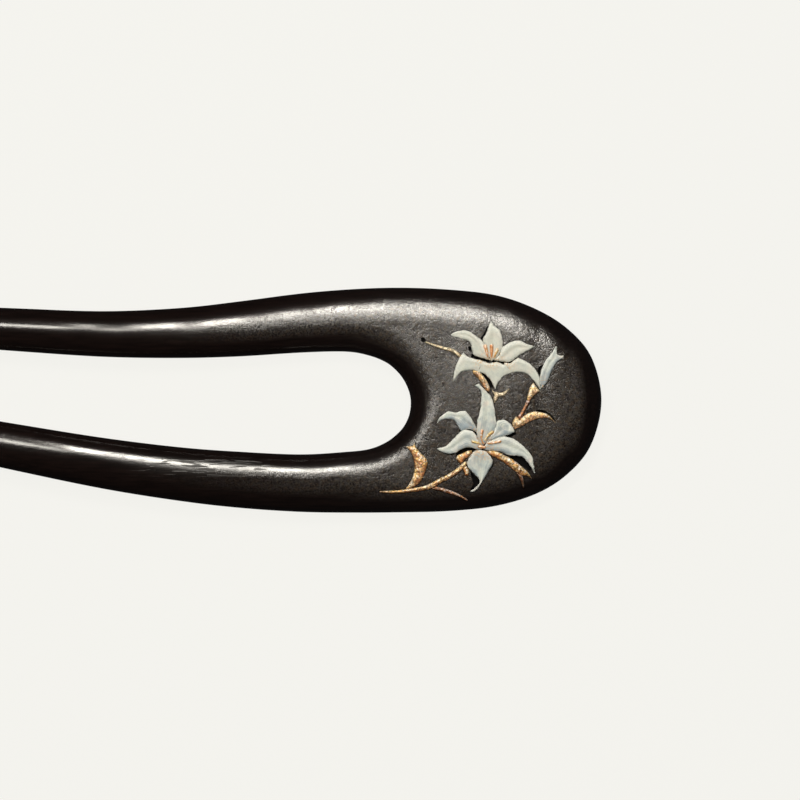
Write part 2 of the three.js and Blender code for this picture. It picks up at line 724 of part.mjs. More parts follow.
// round the lower lily
hollow(
  [[-8.6, -5.3], [-7.3, -5.2], [-6.2, -5.3], [-5.2, -5.6]],
  [[-5.2, -6.6], [-6.1, -6.1], [-7.15, -5.8], [-8.5, -5.95]],
);
hollow(
  [[-12.4, -9.25], [-11.8, -9.75], [-10.7, -10.15], [-9.6, -10.1]],
  [[-9.5, -9.7], [-10.7, -9.8], [-12, -9.35]],
);
hollow(
  [[-9.3, -9.7], [-7.9, -8.8], [-6.6, -8.65], [-5.6, -9]],
  [[-5.6, -9.5], [-6.3, -9.5], [-7.15, -9.6], [-8.95, -10.35]],
);
hollow([[0.1, -6.4], [0.9, -6.2], [1.7, -5.8]], [[2, -6.3], [1, -6.8], [0.2, -6.8]]);
hollow(
  [[-6.6, -13.1], [-5.1, -14.7], [-4.95, -15.2]],
  [[-5.2, -15.9], [-6.1, -16.6]],
  [[-6.6, -16.6], [-6, -15.6], [-6.35, -14.4]],
);
hollow([[-2.35, -11], [-2.2, -12], [-3, -13.2]], [[-3.2, -12.9], [-2.6, -11.9]]);

// above the long leaves
hollow(
  [[5.6, -1.9], [6.4, -1.75], [7.6, -2.1], [8.7, -2.9], [9.35, -3.9]],
  [[9.1, -4.15], [8, -2.95], [6.7, -2.45]],
);
hollow(
  [[-0.4, -9.8], [0.5, -10.1], [2.95, -10.3], [4.05, -11.25], [4.9, -12.6]],
  [[4.5, -13.2], [3.3, -12.3], [0.9, -10.8]],
);

// ---- the whole fork -----------------------------------------------------------------------------
const hairFork = new THREE.Group();
hairFork.add(named("fork_body", wood, ebony), lowerLily, upperLily, sideBud, foliage);

export default hairFork;
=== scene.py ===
"""The looks of the inlaid hair fork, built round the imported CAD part.

The wood, every shell petal, every gilt leaf and stem and every stamen gets a fine mesh of its own. Their
outlines are read from the CAD nodes, so each piece lies exactly where its solid does. Lengths in the
geometry code are millimetres; a mesh is turned into metres when it becomes an object.
"""

import json
import math

import bmesh
import bpy
import numpy as np
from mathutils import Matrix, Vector, geometry, noise


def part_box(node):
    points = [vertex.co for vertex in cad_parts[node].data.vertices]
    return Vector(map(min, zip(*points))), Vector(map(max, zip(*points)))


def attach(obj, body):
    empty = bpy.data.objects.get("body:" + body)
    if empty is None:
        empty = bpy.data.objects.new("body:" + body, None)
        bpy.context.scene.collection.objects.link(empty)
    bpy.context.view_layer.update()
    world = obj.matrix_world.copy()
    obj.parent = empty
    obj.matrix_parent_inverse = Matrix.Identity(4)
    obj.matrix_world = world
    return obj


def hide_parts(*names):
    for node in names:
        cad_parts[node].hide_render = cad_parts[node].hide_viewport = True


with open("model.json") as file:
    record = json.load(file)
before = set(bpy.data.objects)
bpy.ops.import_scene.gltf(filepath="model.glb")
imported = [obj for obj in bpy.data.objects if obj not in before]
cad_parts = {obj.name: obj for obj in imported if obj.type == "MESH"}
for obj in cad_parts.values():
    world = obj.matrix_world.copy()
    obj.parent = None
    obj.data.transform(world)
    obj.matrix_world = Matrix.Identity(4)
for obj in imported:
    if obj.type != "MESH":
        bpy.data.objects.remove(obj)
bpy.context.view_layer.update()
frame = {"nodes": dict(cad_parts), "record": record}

MM = 0.001

# ---- how the fork is carved, in millimetres ------------------------------------------------------
HEAD_THICKNESS = 7.6
CROWN = 0.9
CROWN_LENGTH = 22.0
CROWN_WIDTH = 16.0
TIP_THICKNESS = 4.6
TAPER_FROM_X = -25.0
TAPER_POWER = 1.3
BACK_SHARE = 0.475  # how much of the thickness lies behind the widest line
NOSE = 5.0  # the length over which each tip is rounded off
OUTER_ROUND = 6.5
PRONG_SLOT_ROUND = (4.9, 3.9)  # along the slot: on the lower and on the upper prong
HEAD_SLOT_ROUND = (4.6, 5.9)  # the same round the slot's end in the head
SLOT_ROUND_FROM_X = -45.0  # where the one starts to become the other
SLOT_ROUND_TO_X = -20.0
SLOT_SIDE_BLEND = 5.0  # and how far across the head the lower becomes the upper
MOST_SLOT_SHARE = 0.57  # the rounding along the slot takes up no more of a section than this
BACK_ROUND = 4.0
TIP_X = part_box("fork_body")[0].x / MM

# ---- how the CAD nodes' faces are told apart, by how much they face up ---------------------------
LEVEL = 0.02
UPPER_FACE = 0.3
POCKET_FLOOR = 0.5

# ---- how fine the meshes are, in millimetres -----------------------------------------------------
HEAD_RING_SPACING = 0.55
PRONG_RING_SPACING = 1.2
HEAD_RINGS_FROM_X = -37.5
EDGE_STEPS = 12
FLAT_STEPS = 20
MOST_OUTER_POINTS = 0.55  # the edges' points take up no more of a section than this
MOST_SLOT_POINTS = 0.4
BACK_STEPS = 2  # every second point of the front is used on the back
OUTLINE_SPACING = 0.14
PETAL_SPACING = 0.16
LEAF_SPACING = 0.13
STEM_SPACING = 0.11
STEM_OUTLINE_SPACING = 0.1
STAMEN_SPACING = 0.09
STAMEN_OUTLINE_SPACING = 0.08
STRAIGHT = 0.006  # a point this close to the line between its neighbours is left out
CORNER_ANGLE = math.radians(38)
FORK_CREASE = math.radians(40)  # edges that bend more than this are shaded as sharp
SHEET_CREASE = math.radians(50)
FILL_CLEAR = 0.45  # a sheet's filling keeps this much of its spacing away from the outline
SLOPE_STEP = 0.04  # the step over which the polished face's slope is measured
RIM_REACH = 0.45  # the wood is triangulated afresh this close to a pocket
RIM_CLEAR = 0.12  # but without any point this close to it
SMALLEST_ISLAND = 0.1  # area of the smallest bit of wood left standing inside a pocket

# ---- how the inlay sits in the wood, in millimetres ----------------------------------------------
PROUD = 0.25
PLATE_DEPTH = 1.0
GLUE = 0.05
SAW_DEPTH = 0.09  # how uneven a petal's edge is
SAW_WAVES = 1.6  # waves of that unevenness in a millimetre
PLATE_SPREAD = 0.045  # the looks fill almost half of the gap that the CAD part leaves between plates

# ---- how the inlay's upper faces are shaped, in millimetres --------------------------------------
PETAL_EDGE = 0.12  # a petal's steep edge is this high and this wide
PETAL_DOME_HEIGHT = 0.23
PETAL_DOME_WIDTH = 0.8
PETAL_GROOVE = 0.17
JOINED_GROOVE = 0.04  # the groove of a petal that is joined to its neighbours
GROOVE_WIDTH = 0.3  # as a share of the petal's half width
GROOVE_FROM_RIM = 0.7  # the groove has its full depth from this far inside the rim on
PETAL_CURL = 0.12
CURL_FROM = 0.6  # as a share of the petal's length
LEAF_EDGE = 0.25
LEAF_RIB = 0.14
LEAF_DENT = 0.07
LEAF_DENTS_FROM_RIM = 0.3  # and so have the dents
LEAF_DENT_WAVES = 2.2
STEM_RISE = 0.12
STEM_DENT = 0.08
STEM_DENT_WAVES = 2.6
STAMEN_SINK = 0.15  # how far a stamen reaches into the petals below it
STAMEN_RISE = 0.1
STAMEN_FULLNESS = 0.42

# ---- where the wood is worn: each pair runs from none of the effect to all of it -----------------
PRONG_WEAR_X = (-75.0, -20.0)  # in millimetres, like all the places below
HEAD_WEAR_X = (-34.0, -20.0)
BROWN_X = (-80.0, -18.0)
DULLER_X = (-100.0, -30.0)
SHINIER_X = (-45.0, -15.0)
SCRAPE_X = ((-71.0, -65.0), (-42.0, -48.0))  # the ends of the scraped patch on the lower prong
SCRAPE_Y = ((-14.5, -13.5), (-10.5, -11.5))  # and its sides
PRONG_WEAR_LEVEL = (0.92, 0.99)  # how level the surface is: 1 where it faces straight up
HEAD_WEAR_LEVEL = (0.5, 0.97)
# the brown wear is painted only on surfaces that face up, so the sides stay darker as painted shade
BROWN_LIT_TOP_LEVEL = (0.85, 0.995)
ALONG_GRAIN = (0.07, 1, 1)  # stretches a pattern along the wood's grain
ALONG_SCRATCH = (0.09, 1, 1)
SCRATCH_ANGLE = math.radians(-7)

# ---- how single pieces differ from the rest of their material ------------------------------------
TONES = {  # at the end nearest the frame's origin, and at the far end: paler above 0, darker below
    "forked_twig": (0.75, 0.6),
    "upper_left_stem": (0.6, 0.8),
    "bud_calyx": (0.15, 0.4),
    "neck_stem": (0.1, 0.2),
    "right_leaf": (0.25, 0.1),
    "left_leaf": (0.0, 0.1),
    "lower_right_leaf": (0.0, -0.25),
    "main_stem": (0.2, 0.0),
    "lower_tendril": (0.15, -0.6),
    "leaf_tendril": (-0.2, -0.8),
}
COOLNESS = {"lower": 1.0, "upper": 0.4, "bud": 1.3}  # how blue-grey the petals' shaded parts are
COOLEST = {"lower_lily_right_petal": 2.0, "lower_lily_upper_left_petal": 1.6}
JOINED = ("upper_lily_front_left_petal", "upper_lily_front_petal", "upper_lily_front_right_petal")
JOINT_REACH = 0.3  # the rims of two joined petals run this close together, in millimetres

# ---- colours -------------------------------------------------------------------------------------
DARK_GRAIN, PALE_GRAIN = (0.0032, 0.002, 0.0017), (0.010, 0.0054, 0.0044)
REDDISH_WEAR, PLAIN_WEAR, GREYISH_WEAR = (0.078, 0.056, 0.039), (0.064, 0.057, 0.045), (0.065, 0.055, 0.052)
# the pocket wood is painted darker than the polished grain, as shade in the recesses
DARK_CUT_SHADE, PALE_CUT_SHADE = (0.002, 0.0018, 0.0016), (0.006, 0.005, 0.0045)
WOOD_SHEEN = (1.0, 0.97, 0.93)
GREENISH_SHELL, CREAMY_SHELL, ROSY_SHELL = (0.68, 0.70, 0.59), (0.76, 0.75, 0.62), (0.78, 0.70, 0.58)
BLUE_GREY_SHADE_AND_PATCH, YELLOWED, SHELL_HIGHLIGHT = (0.27, 0.32, 0.335), (0.50, 0.49, 0.40), (0.92, 0.90, 0.79)
STAIN, CHALK, BROWN_DUST = (0.36, 0.37, 0.35), (0.95, 0.94, 0.88), (0.62, 0.36, 0.15)
GOLD, RUST, UMBER = (0.90, 0.56, 0.16), (0.60, 0.20, 0.06), (0.045, 0.025, 0.013)
COPPER, DARK_COPPER = (0.70, 0.34, 0.14), (0.42, 0.13, 0.05)
BARE_METAL = (0.93, 0.82, 0.55)
YELLOW, OCHRE = (0.82, 0.66, 0.22), (0.60, 0.38, 0.12)
ORANGE, BURNT_ORANGE = (0.80, 0.46, 0.18), (0.60, 0.25, 0.08)

# ---- the studio: lengths in metres from here on --------------------------------------------------
PALE = (0.905, 0.897, 0.855)
FLOOR_GLOW = 0.965
FLOOR_MATT = 0.035
FLOOR_SIZE = 12
FLOOR_GAP = 0.0002
DIM = (0.022, 0.022, 0.023)  # what the studio's walls give off
WARM_LIGHT = (1.0, 0.985, 0.93)
COOL_LIGHT = (0.95, 0.98, 1.0)
LIGHTS_POINT_AT = (-0.03, 0, 0)
CAMERA_PLACE = (-0.01966, 0.00006, 1.5)
FACE_HEIGHT = 0.004  # the height at which the camera sees just SEEN_WIDTH
SEEN_WIDTH = 0.1495
SENSOR_WIDTH = 36


# ---- reading the CAD nodes -----------------------------------------------------------------------
def cad_mesh(node):
    """A CAD node as a bmesh in millimetres, with its split vertices joined again."""
    bm = bmesh.new()
    bm.from_mesh(frame["nodes"][node].data)
    bmesh.ops.remove_doubles(bm, verts=bm.verts, dist=1e-7)
    bmesh.ops.scale(bm, vec=Vector((1, 1, 1)) / MM, verts=bm.verts)
    bm.faces.index_update()
    bm.normal_update()
    return bm


def closed_chains(edges):
    """The closed chains that some edges form, as arrays of points."""
    neighbours = {}
    for edge in edges:
        a, b = edge.verts
        neighbours.setdefault(a, []).append(b)
        neighbours.setdefault(b, []).append(a)
    chains, seen = [], set()
    for start in neighbours:
        chain, here = [], None if start in seen else start
        while here is not None:
            seen.add(here)
            chain.append(here.co[:])
            here = next((v for v in neighbours[here] if v not in seen), None)
        if chain:
            chains.append(np.array(chain))
    return chains


def widest_line(bm):
    """Where the front of the fork meets its back, as one closed loop through both tips."""
    edges = [e for e in bm.edges if len(e.link_faces) == 2]
    tilts = {e: sorted(f.normal.z for f in e.link_faces) for e in edges}
    widest = [e for e in edges if tilts[e][0] < -LEVEL and tilts[e][1] > LEVEL]
    return max(closed_chains(widest), key=len)


def top_outline(node):
    """The outline of a plate's upper face in plan, counterclockwise."""
    bm = cad_mesh(node)
    edges = [e for e in bm.edges if sum(f.normal.z > UPPER_FACE for f in e.link_faces) == 1]
    loop = max(closed_chains(edges), key=len)[:, :2]
    bm.free()
    return loop if signed_area(loop) > 0 else loop[::-1]


def signed_area(loop):
    x, y = loop.T
    return 0.5 * float(np.sum(x * np.roll(y, -1) - np.roll(x, -1) * y))


# ---- curves --------------------------------------------------------------------------------------
def catmull_rom(p0, p1, p2, p3, steps):
    """Points from p1 up to, not including, p2 on a centripetal Catmull-Rom curve."""
    gaps = [max(np.linalg.norm(b - a), 1e-6) ** 0.5 for a, b in ((p0, p1), (p1, p2), (p2, p3))]
    t0, t1, t2, t3 = 0.0, gaps[0], gaps[0] + gaps[1], sum(gaps)
    t = np.linspace(t1, t2, steps, endpoint=False)[:, None]
    a1 = (t1 - t) / (t1 - t0) * p0 + (t - t0) / (t1 - t0) * p1
    a2 = (t2 - t) / (t2 - t1) * p1 + (t - t1) / (t2 - t1) * p2
    a3 = (t3 - t) / (t3 - t2) * p2 + (t - t2) / (t3 - t2) * p3
    b1 = (t2 - t) / (t2 - t0) * a1 + (t - t0) / (t2 - t0) * a2
    b2 = (t3 - t) / (t3 - t1) * a2 + (t - t1) / (t3 - t1) * a3
    return (t2 - t) / (t2 - t1) * b1 + (t - t1) / (t2 - t1) * b2


def without_straight_points(loop):
    """Drops the points that lie on the line between their neighbours."""
    points = list(loop)
    i = 0
    while i < len(points) and len(points) > 4:
        before, here, after = points[i - 1], points[i], points[(i + 1) % len(points)]
        along = after - before
        offset = here - before
        away = abs(along[0] * offset[1] - along[1] * offset[0]) / max(np.linalg.norm(along), 1e-9)
        if away < STRAIGHT:
            points.pop(i)
        else:
            i += 1
    return np.array(points)


def turn_at(loop, i):
    """The angle by which a closed line turns at one of its points."""
    before = loop[i] - loop[i - 1]
    after = loop[(i + 1) % len(loop)] - loop[i]
    cross = before[0] * after[1] - before[1] * after[0]
    return abs(math.atan2(cross, before @ after))


def smooth_outline(loop, spacing=OUTLINE_SPACING):
    """A closed outline with smooth sides between its sharp corners."""
    loop = without_straight_points(loop)
    count = len(loop)
    sharp = [turn_at(loop, i) > CORNER_ANGLE for i in range(count)]
    points = []
    for i in range(count):
        p1, p2 = loop[i], loop[(i + 1) % count]
        p0 = 2 * p1 - p2 if sharp[i] else loop[i - 1]
        p3 = 2 * p2 - p1 if sharp[(i + 1) % count] else loop[(i + 2) % count]
        steps = max(1, round(np.linalg.norm(p2 - p1) / spacing))
        points.extend(catmull_rom(p0, p1, p2, p3, steps))
    return np.array(points)


def along_line(line):
    """The segments of an open line, as their starts and their ends."""
    return line[:-1], line[1:]


def round_loops(*loops):
    """The segments of some closed lines, as their starts and their ends."""
    return np.vstack(loops), np.vstack([np.roll(loop, -1, axis=0) for loop in loops])


def in_batches(points, size=1500):
    return np.array_split(points, max(1, len(points) // size))


def inside(points, start, end):
    """Whether each point lies inside the closed lines that some segments make up."""
    (x1, y1), (x2, y2) = start.T, end.T
    slope = (x2 - x1) / np.where(y1 == y2, 1.0, y2 - y1)
    found = []
    for batch in in_batches(points):
        x, y = batch[:, 0:1], batch[:, 1:2]
        crosses = (y1 > y) != (y2 > y)
        found.append(np.sum(crosses & (x < x1 + (y - y1) * slope), axis=1) % 2 == 1)
    return np.concatenate(found)


def distance_to(points, start, end):
    """The distance in plan from each point to the nearest of some segments."""
    step = end - start
    squared = np.maximum((step**2).sum(1), 1e-12)
    found = []
    for batch in in_batches(points):
        offset = batch[:, None, :] - start[None]
        share = np.clip((offset * step).sum(2) / squared, 0, 1)
        away = offset - share[..., None] * step
        found.append(np.sqrt((away**2).sum(2).min(1)))
    return np.concatenate(found)


# ---- the fork's surface --------------------------------------------------------------------------
def rounding(share):
    """The height of a quarter circle: 0 at its foot, 1 from the top on."""
    return np.sqrt(1 - (1 - np.clip(share, 0, 1)) ** 2)


def edge_lines():
    """The outer edge and the slot's edge as matching fine lines from the upper tip to the lower tip."""
    bm = cad_mesh("fork_body")
    loop = widest_line(bm)
    bm.free()
    tips = sorted(np.argsort(loop[:, 0])[:2], key=lambda i: -loop[i, 1])
    loop = np.roll(loop, -tips[0], axis=0)
    half = len(loop) // 2
    if loop[1, 1] < loop[-1, 1]:
        loop = np.roll(loop[::-1], 1, axis=0)
    first, second = [], []
    for i in range(half):
        spacing = HEAD_RING_SPACING if loop[i, 0] > HEAD_RINGS_FROM_X else PRONG_RING_SPACING
        steps = max(2, round(np.linalg.norm(loop[i + 1] - loop[i]) / spacing))
        first.extend(catmull_rom(*(loop[(i + k) % len(loop)] for k in (-1, 0, 1, 2)), steps))
        second.extend(catmull_rom(*(loop[(-i - k) % len(loop)] for k in (-1, 0, 1, 2)), steps))
    return np.array(first + [loop[half]]), np.array(second + [loop[half]])


outer_edge, slot_edge = edge_lines()
by_x = np.argsort(outer_edge[:, 0])
widest_x, widest_height = outer_edge[by_x, 0], outer_edge[by_x, 2]


def thickness(x):
    share = np.clip((TAPER_FROM_X - x) / (TAPER_FROM_X - TIP_X), 0, 1)
    return HEAD_THICKNESS + (TIP_THICKNESS - HEAD_THICKNESS) * share**TAPER_POWER


def widest_z(x):
    """The height of the line where front and back meet."""
    return np.interp(x, widest_x, widest_height)


def slot_rounding(points):
    """The width of the rounding along the slot."""
    x, y = points.T
    middle = (outer_edge[0, 1] + outer_edge[-1, 1]) / 2 * np.clip(x / TIP_X, 0, 1)
    upper = np.clip((y - middle) / SLOT_SIDE_BLEND + 1, 0, 1)
    head = np.clip((x - SLOT_ROUND_FROM_X) / (SLOT_ROUND_TO_X - SLOT_ROUND_FROM_X), 0, 1)
    on_prong = PRONG_SLOT_ROUND[0] + (PRONG_SLOT_ROUND[1] - PRONG_SLOT_ROUND[0]) * upper
    on_head = HEAD_SLOT_ROUND[0] + (HEAD_SLOT_ROUND[1] - HEAD_SLOT_ROUND[0]) * upper
    return on_prong + (on_head - on_prong) * head


def front_z(points):
    """The height of the fork's front over some points in plan."""
    from_outer = distance_to(points, *along_line(outer_edge[:, :2]))
    from_slot = distance_to(points, *along_line(slot_edge[:, :2]))
    width = np.maximum(from_outer + from_slot, 1e-6)
    slot_round = np.minimum(slot_rounding(points), width * MOST_SLOT_SHARE)
    outer_round = np.minimum(OUTER_ROUND, width - slot_round)
    x, y = points.T
    crown = CROWN * np.exp(-((x / CROWN_LENGTH) ** 2) - (y / CROWN_WIDTH) ** 2)
    rise = thickness(x) * (1 - BACK_SHARE) * rounding((x - TIP_X) / NOSE) + crown
    return widest_z(x) + rise * rounding(from_outer / outer_round) * rounding(from_slot / slot_round)


def back_z(points):
    """The height of its back over the same."""
    from_outer = distance_to(points, *along_line(outer_edge[:, :2]))
    from_slot = distance_to(points, *along_line(slot_edge[:, :2]))
    round_over = np.minimum(BACK_ROUND, np.maximum(from_outer + from_slot, 1e-6) / 2)
    x = points[:, 0]
    drop = thickness(x) * BACK_SHARE * rounding((x - TIP_X) / NOSE)
    return widest_z(x) - drop * rounding(np.minimum(from_outer, from_slot) / round_over)


# ---- objects -------------------------------------------------------------------------------------
def new_object(name, points, faces, material):
    mesh = bpy.data.meshes.new(name)
    mesh.from_pydata([tuple(p) for p in np.asarray(points) * MM], [], faces)
    mesh.materials.append(material)
    obj = bpy.data.objects.new(name, mesh)
    bpy.context.scene.collection.objects.link(obj)
    return obj


def shade(obj, crease):
    mesh = obj.data
    mesh.polygons.foreach_set("use_smooth", [True] * len(mesh.polygons))
    mesh.set_sharp_from_angle(angle=crease)


def finish_piece(obj, node):
    """Fixes a piece to the fork's one body, in place of its CAD node."""
    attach(obj, "root")
    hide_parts(node)


# ---- node materials ------------------------------------------------------------------------------
class Nodes:
    """A small helper for building a material's node tree."""

    def __init__(self, name):
        self.material = bpy.data.materials.new(name)
        self.material.use_nodes = True
        self.tree = self.material.node_tree
        self.surface = self.tree.nodes["Principled BSDF"]

    def node(self, kind, inputs=None, **settings):
        made = self.tree.nodes.new(kind)
        for key, value in settings.items():
            setattr(made, key, value)
        for key, value in (inputs or {}).items():
            self.put(made.inputs[key], value)
        return made

    def put(self, socket, value):
        if isinstance(value, bpy.types.NodeSocket):
            self.tree.links.new(value, socket)
        else:
            socket.default_value = value

    def place(self, scale=(1, 1, 1), rotation=(0, 0, 0)):
        """Where a point lies in the object, in metres, stretched and turned for a pattern."""
        coordinates = self.node("ShaderNodeTexCoord").outputs["Object"]
        inputs = {"Vector": coordinates, "Scale": scale, "Rotation": rotation}
        return self.node("ShaderNodeMapping", inputs).outputs["Vector"]

    def noise(self, where, size_mm, detail=3.0, roughness=0.5):
        """Cloudy noise whose largest spots are about as big as the given size."""
        inputs = {"Vector": where, "Scale": 1 / (size_mm * MM), "Detail": detail, "Roughness": roughness}
        return self.node("ShaderNodeTexNoise", inputs).outputs["Fac"]

    def ramp(self, value, *stops):
        """A value turned into a colour or another value, through stops of (value, result)."""
        made = self.node("ShaderNodeValToRGB", {"Fac": value})
        elements = made.color_ramp.elements
        while len(elements) < len(stops):
            elements.new(0.5)
        for element, (position, colour) in zip(elements, stops):
            element.position = position
            element.color = (*colour, 1) if isinstance(colour, tuple) else (colour, colour, colour, 1)
        return made.outputs["Color"]

    def mix(self, share, first, second):
        """The first colour with a share of the second laid over it."""
        made = self.node("ShaderNodeMix", data_type="RGBA")
        self.put(made.inputs[0], share)
        for socket, colour in ((made.inputs[6], first), (made.inputs[7], second)):
            self.put(socket, (*colour, 1) if isinstance(colour, tuple) else colour)
        return made.outputs[2]

    def math(self, operation, first, second=0.0, third=0.0):
        made = self.node("ShaderNodeMath", operation=operation)
        for socket, value in zip(made.inputs, (first, second, third)):
            self.put(socket, value)
        return made.outputs[0]

    def times(self, first, second):
        return self.math("MULTIPLY", first, second)

    def plus(self, base, value, share=1.0):
        """The base with a share of another value added."""
        return self.math("MULTIPLY_ADD", value, share, base)

    def clamp(self, value):
        return self.node("ShaderNodeClamp", {"Value": value}).outputs[0]

    def attribute(self, name):
        return self.node("ShaderNodeAttribute", attribute_name=name).outputs["Fac"]

    def between(self, value, low, high):
        """0 where the value is at low or beyond, 1 at high."""
        return self.node("ShaderNodeMapRange", {"Value": value, 1: low, 2: high}).outputs[0]

    def zone(self, axis, ends):
        """The same along one of the object's axes, between two places in millimetres."""
        return self.between(axis, ends[0] * MM, ends[1] * MM)

    def bump(self, height, depth_mm, strength=1.0, normal=None):
        """A relief of the given depth, on top of the relief that a normal already holds."""
        inputs = {"Height": height, "Distance": depth_mm * MM, "Strength": strength}
        if normal is not None:
            inputs["Normal"] = normal
        return self.node("ShaderNodeBump", inputs).outputs["Normal"]

    def set(self, **values):
        """Sets inputs of the surface, with _ for a space in their names, and returns the material."""
        for key, value in values.items():
            self.put(self.surface.inputs[key.replace("_", " ")], value)
        return self.material


def ebony_wear(n, axes, level):
    """Where the wood is worn, on the head's face and on top of the prongs, and where it is scraped."""
    prongs = n.times(n.zone(axes["X"], PRONG_WEAR_X), n.between(level, *PRONG_WEAR_LEVEL))
    head = n.times(n.zone(axes["X"], HEAD_WEAR_X), n.between(level, *HEAD_WEAR_LEVEL))
    scraped = 1.0
    for axis, borders in (("X", SCRAPE_X), ("Y", SCRAPE_Y)):
        for border in borders:
            scraped = n.times(scraped, n.zone(axes[axis], border))
    return n.math("MAXIMUM", prongs, head), scraped


def ebony_material():
    """Near-black wood: worn and mottled on the head, polished and finely grained on the prongs. The brown
    wear is painted only on surfaces that face up, so the sides stay dark as painted shade.
    """
    n = Nodes("ebony")
    place = n.place()
    grain = n.noise(n.place(scale=ALONG_GRAIN), 0.4, detail=4, roughness=0.6)
    fine = n.noise(place, 0.3, roughness=0.75)
    mottle = n.noise(place, 0.95, detail=4, roughness=0.7)
    cloud = n.noise(place, 6, detail=2)
    hue = n.noise(place, 0.7, detail=1)
    axes = n.node("ShaderNodeSeparateXYZ", {"Vector": place}).outputs
    normal = n.node("ShaderNodeNewGeometry").outputs["Normal"]
    level = n.node("ShaderNodeSeparateXYZ", {"Vector": normal}).outputs["Z"]
    worn, scraped = ebony_wear(n, axes, level)
    scratches = n.noise(n.place(scale=ALONG_SCRATCH, rotation=(0, 0, SCRATCH_ANGLE)), 0.4, detail=1)
    scratches = n.times(n.ramp(scratches, (0.54, 0.0), (0.60, 1.0)), scraped)

    polished = n.ramp(grain, (0.3, DARK_GRAIN), (0.75, PALE_GRAIN))
    brown = n.ramp(hue, (0.38, REDDISH_WEAR), (0.5, PLAIN_WEAR), (0.62, GREYISH_WEAR))
    specks = n.plus(n.times(mottle, 0.3), fine, 0.7)
    specks = n.ramp(specks, (0.40, 0.0), (0.61, 1.0))
    # brown only where the surface faces up: the sides are kept dark as painted shade
    brown_where_lit_top = n.times(n.between(level, *BROWN_LIT_TOP_LEVEL), n.zone(axes["X"], BROWN_X))
    colour = n.mix(n.times(n.times(worn, brown_where_lit_top), specks), polished, brown)

    rough = n.plus(0.06, n.zone(axes["X"], DULLER_X), 0.06)
    for cause, share in ((worn, 0.03), (scraped, 0.06), (fine, 0.1), (cloud, 0.04), (scratches, 0.3)):
        rough = n.plus(rough, cause, share)

    relief = n.bump(mottle, 0.1, strength=worn)
    relief = n.bump(fine, 0.012, strength=0.6, normal=relief)
    relief = n.bump(fine, 0.028, strength=worn, normal=relief)
    relief = n.bump(grain, 0.02, strength=0.5, normal=relief)
    relief = n.bump(n.math("SUBTRACT", 1.0, scratches), 0.012, normal=relief)
    shine = n.plus(0.4, n.zone(axes["X"], SHINIER_X), 0.4)
    n.set(Base_Color=colour, Roughness=rough, Normal=relief)
    return n.set(Specular_IOR_Level=shine, Specular_Tint=(*WOOD_SHEEN, 1))


def cut_wood_material():
    """The bare wood inside a pocket: dry and rough, and painted darker than the polished face as shade in the
    recess.
    """
    n = Nodes("cut_wood")
    fine = n.noise(n.place(), 0.15)
    colour = n.ramp(fine, (0.3, DARK_CUT_SHADE), (0.8, PALE_CUT_SHADE))
    return n.set(Base_Color=colour, Roughness=0.9, Specular_IOR_Level=0.1, Normal=n.bump(fine, 0.05))


def shell_material():
    """Soft white shell, with painted shade in blue-grey toward its root and along its near, lower side,
    blue-grey random patches, and a painted highlight at its far, upper rim.
    """
    n = Nodes("shell")
    along, across, rim = n.attribute("along"), n.attribute("across"), n.attribute("rim")
    side, cool = n.attribute("side"), n.attribute("cool")
    where = n.node("ShaderNodeCombineXYZ", {"X": along, "Y": across}).outputs[0]
    lengthwise = n.node("ShaderNodeMapping", {"Vector": where, "Scale": (1.5, 8, 1)}).outputs[0]
    veins = n.node("ShaderNodeTexNoise", {"Vector": lengthwise, "Scale": 1.0, "Detail": 3.0}).outputs["Fac"]
    place = n.place()
    cloud = n.noise(place, 1.5)
    fine = n.noise(place, 0.45, roughness=0.65)
    tint = n.noise(place, 1.8, detail=2)
    grains = n.noise(place, 0.3, detail=1)

    colour = n.ramp(tint, (0.35, GREENISH_SHELL), (0.5, CREAMY_SHELL), (0.65, ROSY_SHELL))
    # painted shade: blue-grey toward the root, where the petals meet, and along the near, lower side, away
    # from the lamps; the patches are random tone
    root = n.ramp(along, (0.1, 1.0), (0.6, 0.0))
    near = n.ramp(n.times(side, -1.0), (0.1, 0.0), (1.0, 1.0))
    patchy = n.ramp(n.plus(n.times(cloud, 0.6), veins, 0.5), (0.45, 0.0), (0.66, 1.0))
    shade_and_patches = n.plus(n.plus(n.times(near, 0.45), root, 0.55), patchy, 0.5)
    yellowed = n.clamp(n.math("SUBTRACT", 1.0, cool))
    # a painted highlight along the far, upper rim, which faces the lamps
    far_rim_highlight = n.ramp(side, (0.3, 0.0), (0.95, 1.0))
    stains = n.ramp(fine, (0.36, 1.0), (0.5, 0.0))
    worn_rim = n.times(n.ramp(rim, (0.1, 1.0), (0.32, 0.0)), n.ramp(fine, (0.45, 0.0), (0.6, 1.0)))
    dust = n.times(n.between(along, 0.32, 0.08), n.ramp(grains, (0.5, 0.0), (0.58, 1.0)))
    layers = (
        (n.clamp(n.times(shade_and_patches, cool)), BLUE_GREY_SHADE_AND_PATCH),
        (n.times(yellowed, 0.9), YELLOWED),
        (n.times(far_rim_highlight, 0.7), SHELL_HIGHLIGHT),
        (n.times(stains, 0.35), STAIN),
        (n.times(worn_rim, 0.5), CHALK),
        (n.times(dust, 0.75), BROWN_DUST),
    )
    for cover, tone in layers:
        colour = n.mix(cover, colour, tone)
    relief = n.bump(veins, 0.05, strength=0.5)
    relief = n.bump(fine, 0.03, strength=0.6, normal=relief)
    return n.set(Base_Color=colour, Roughness=0.5, Normal=relief, Specular_IOR_Level=0.35)


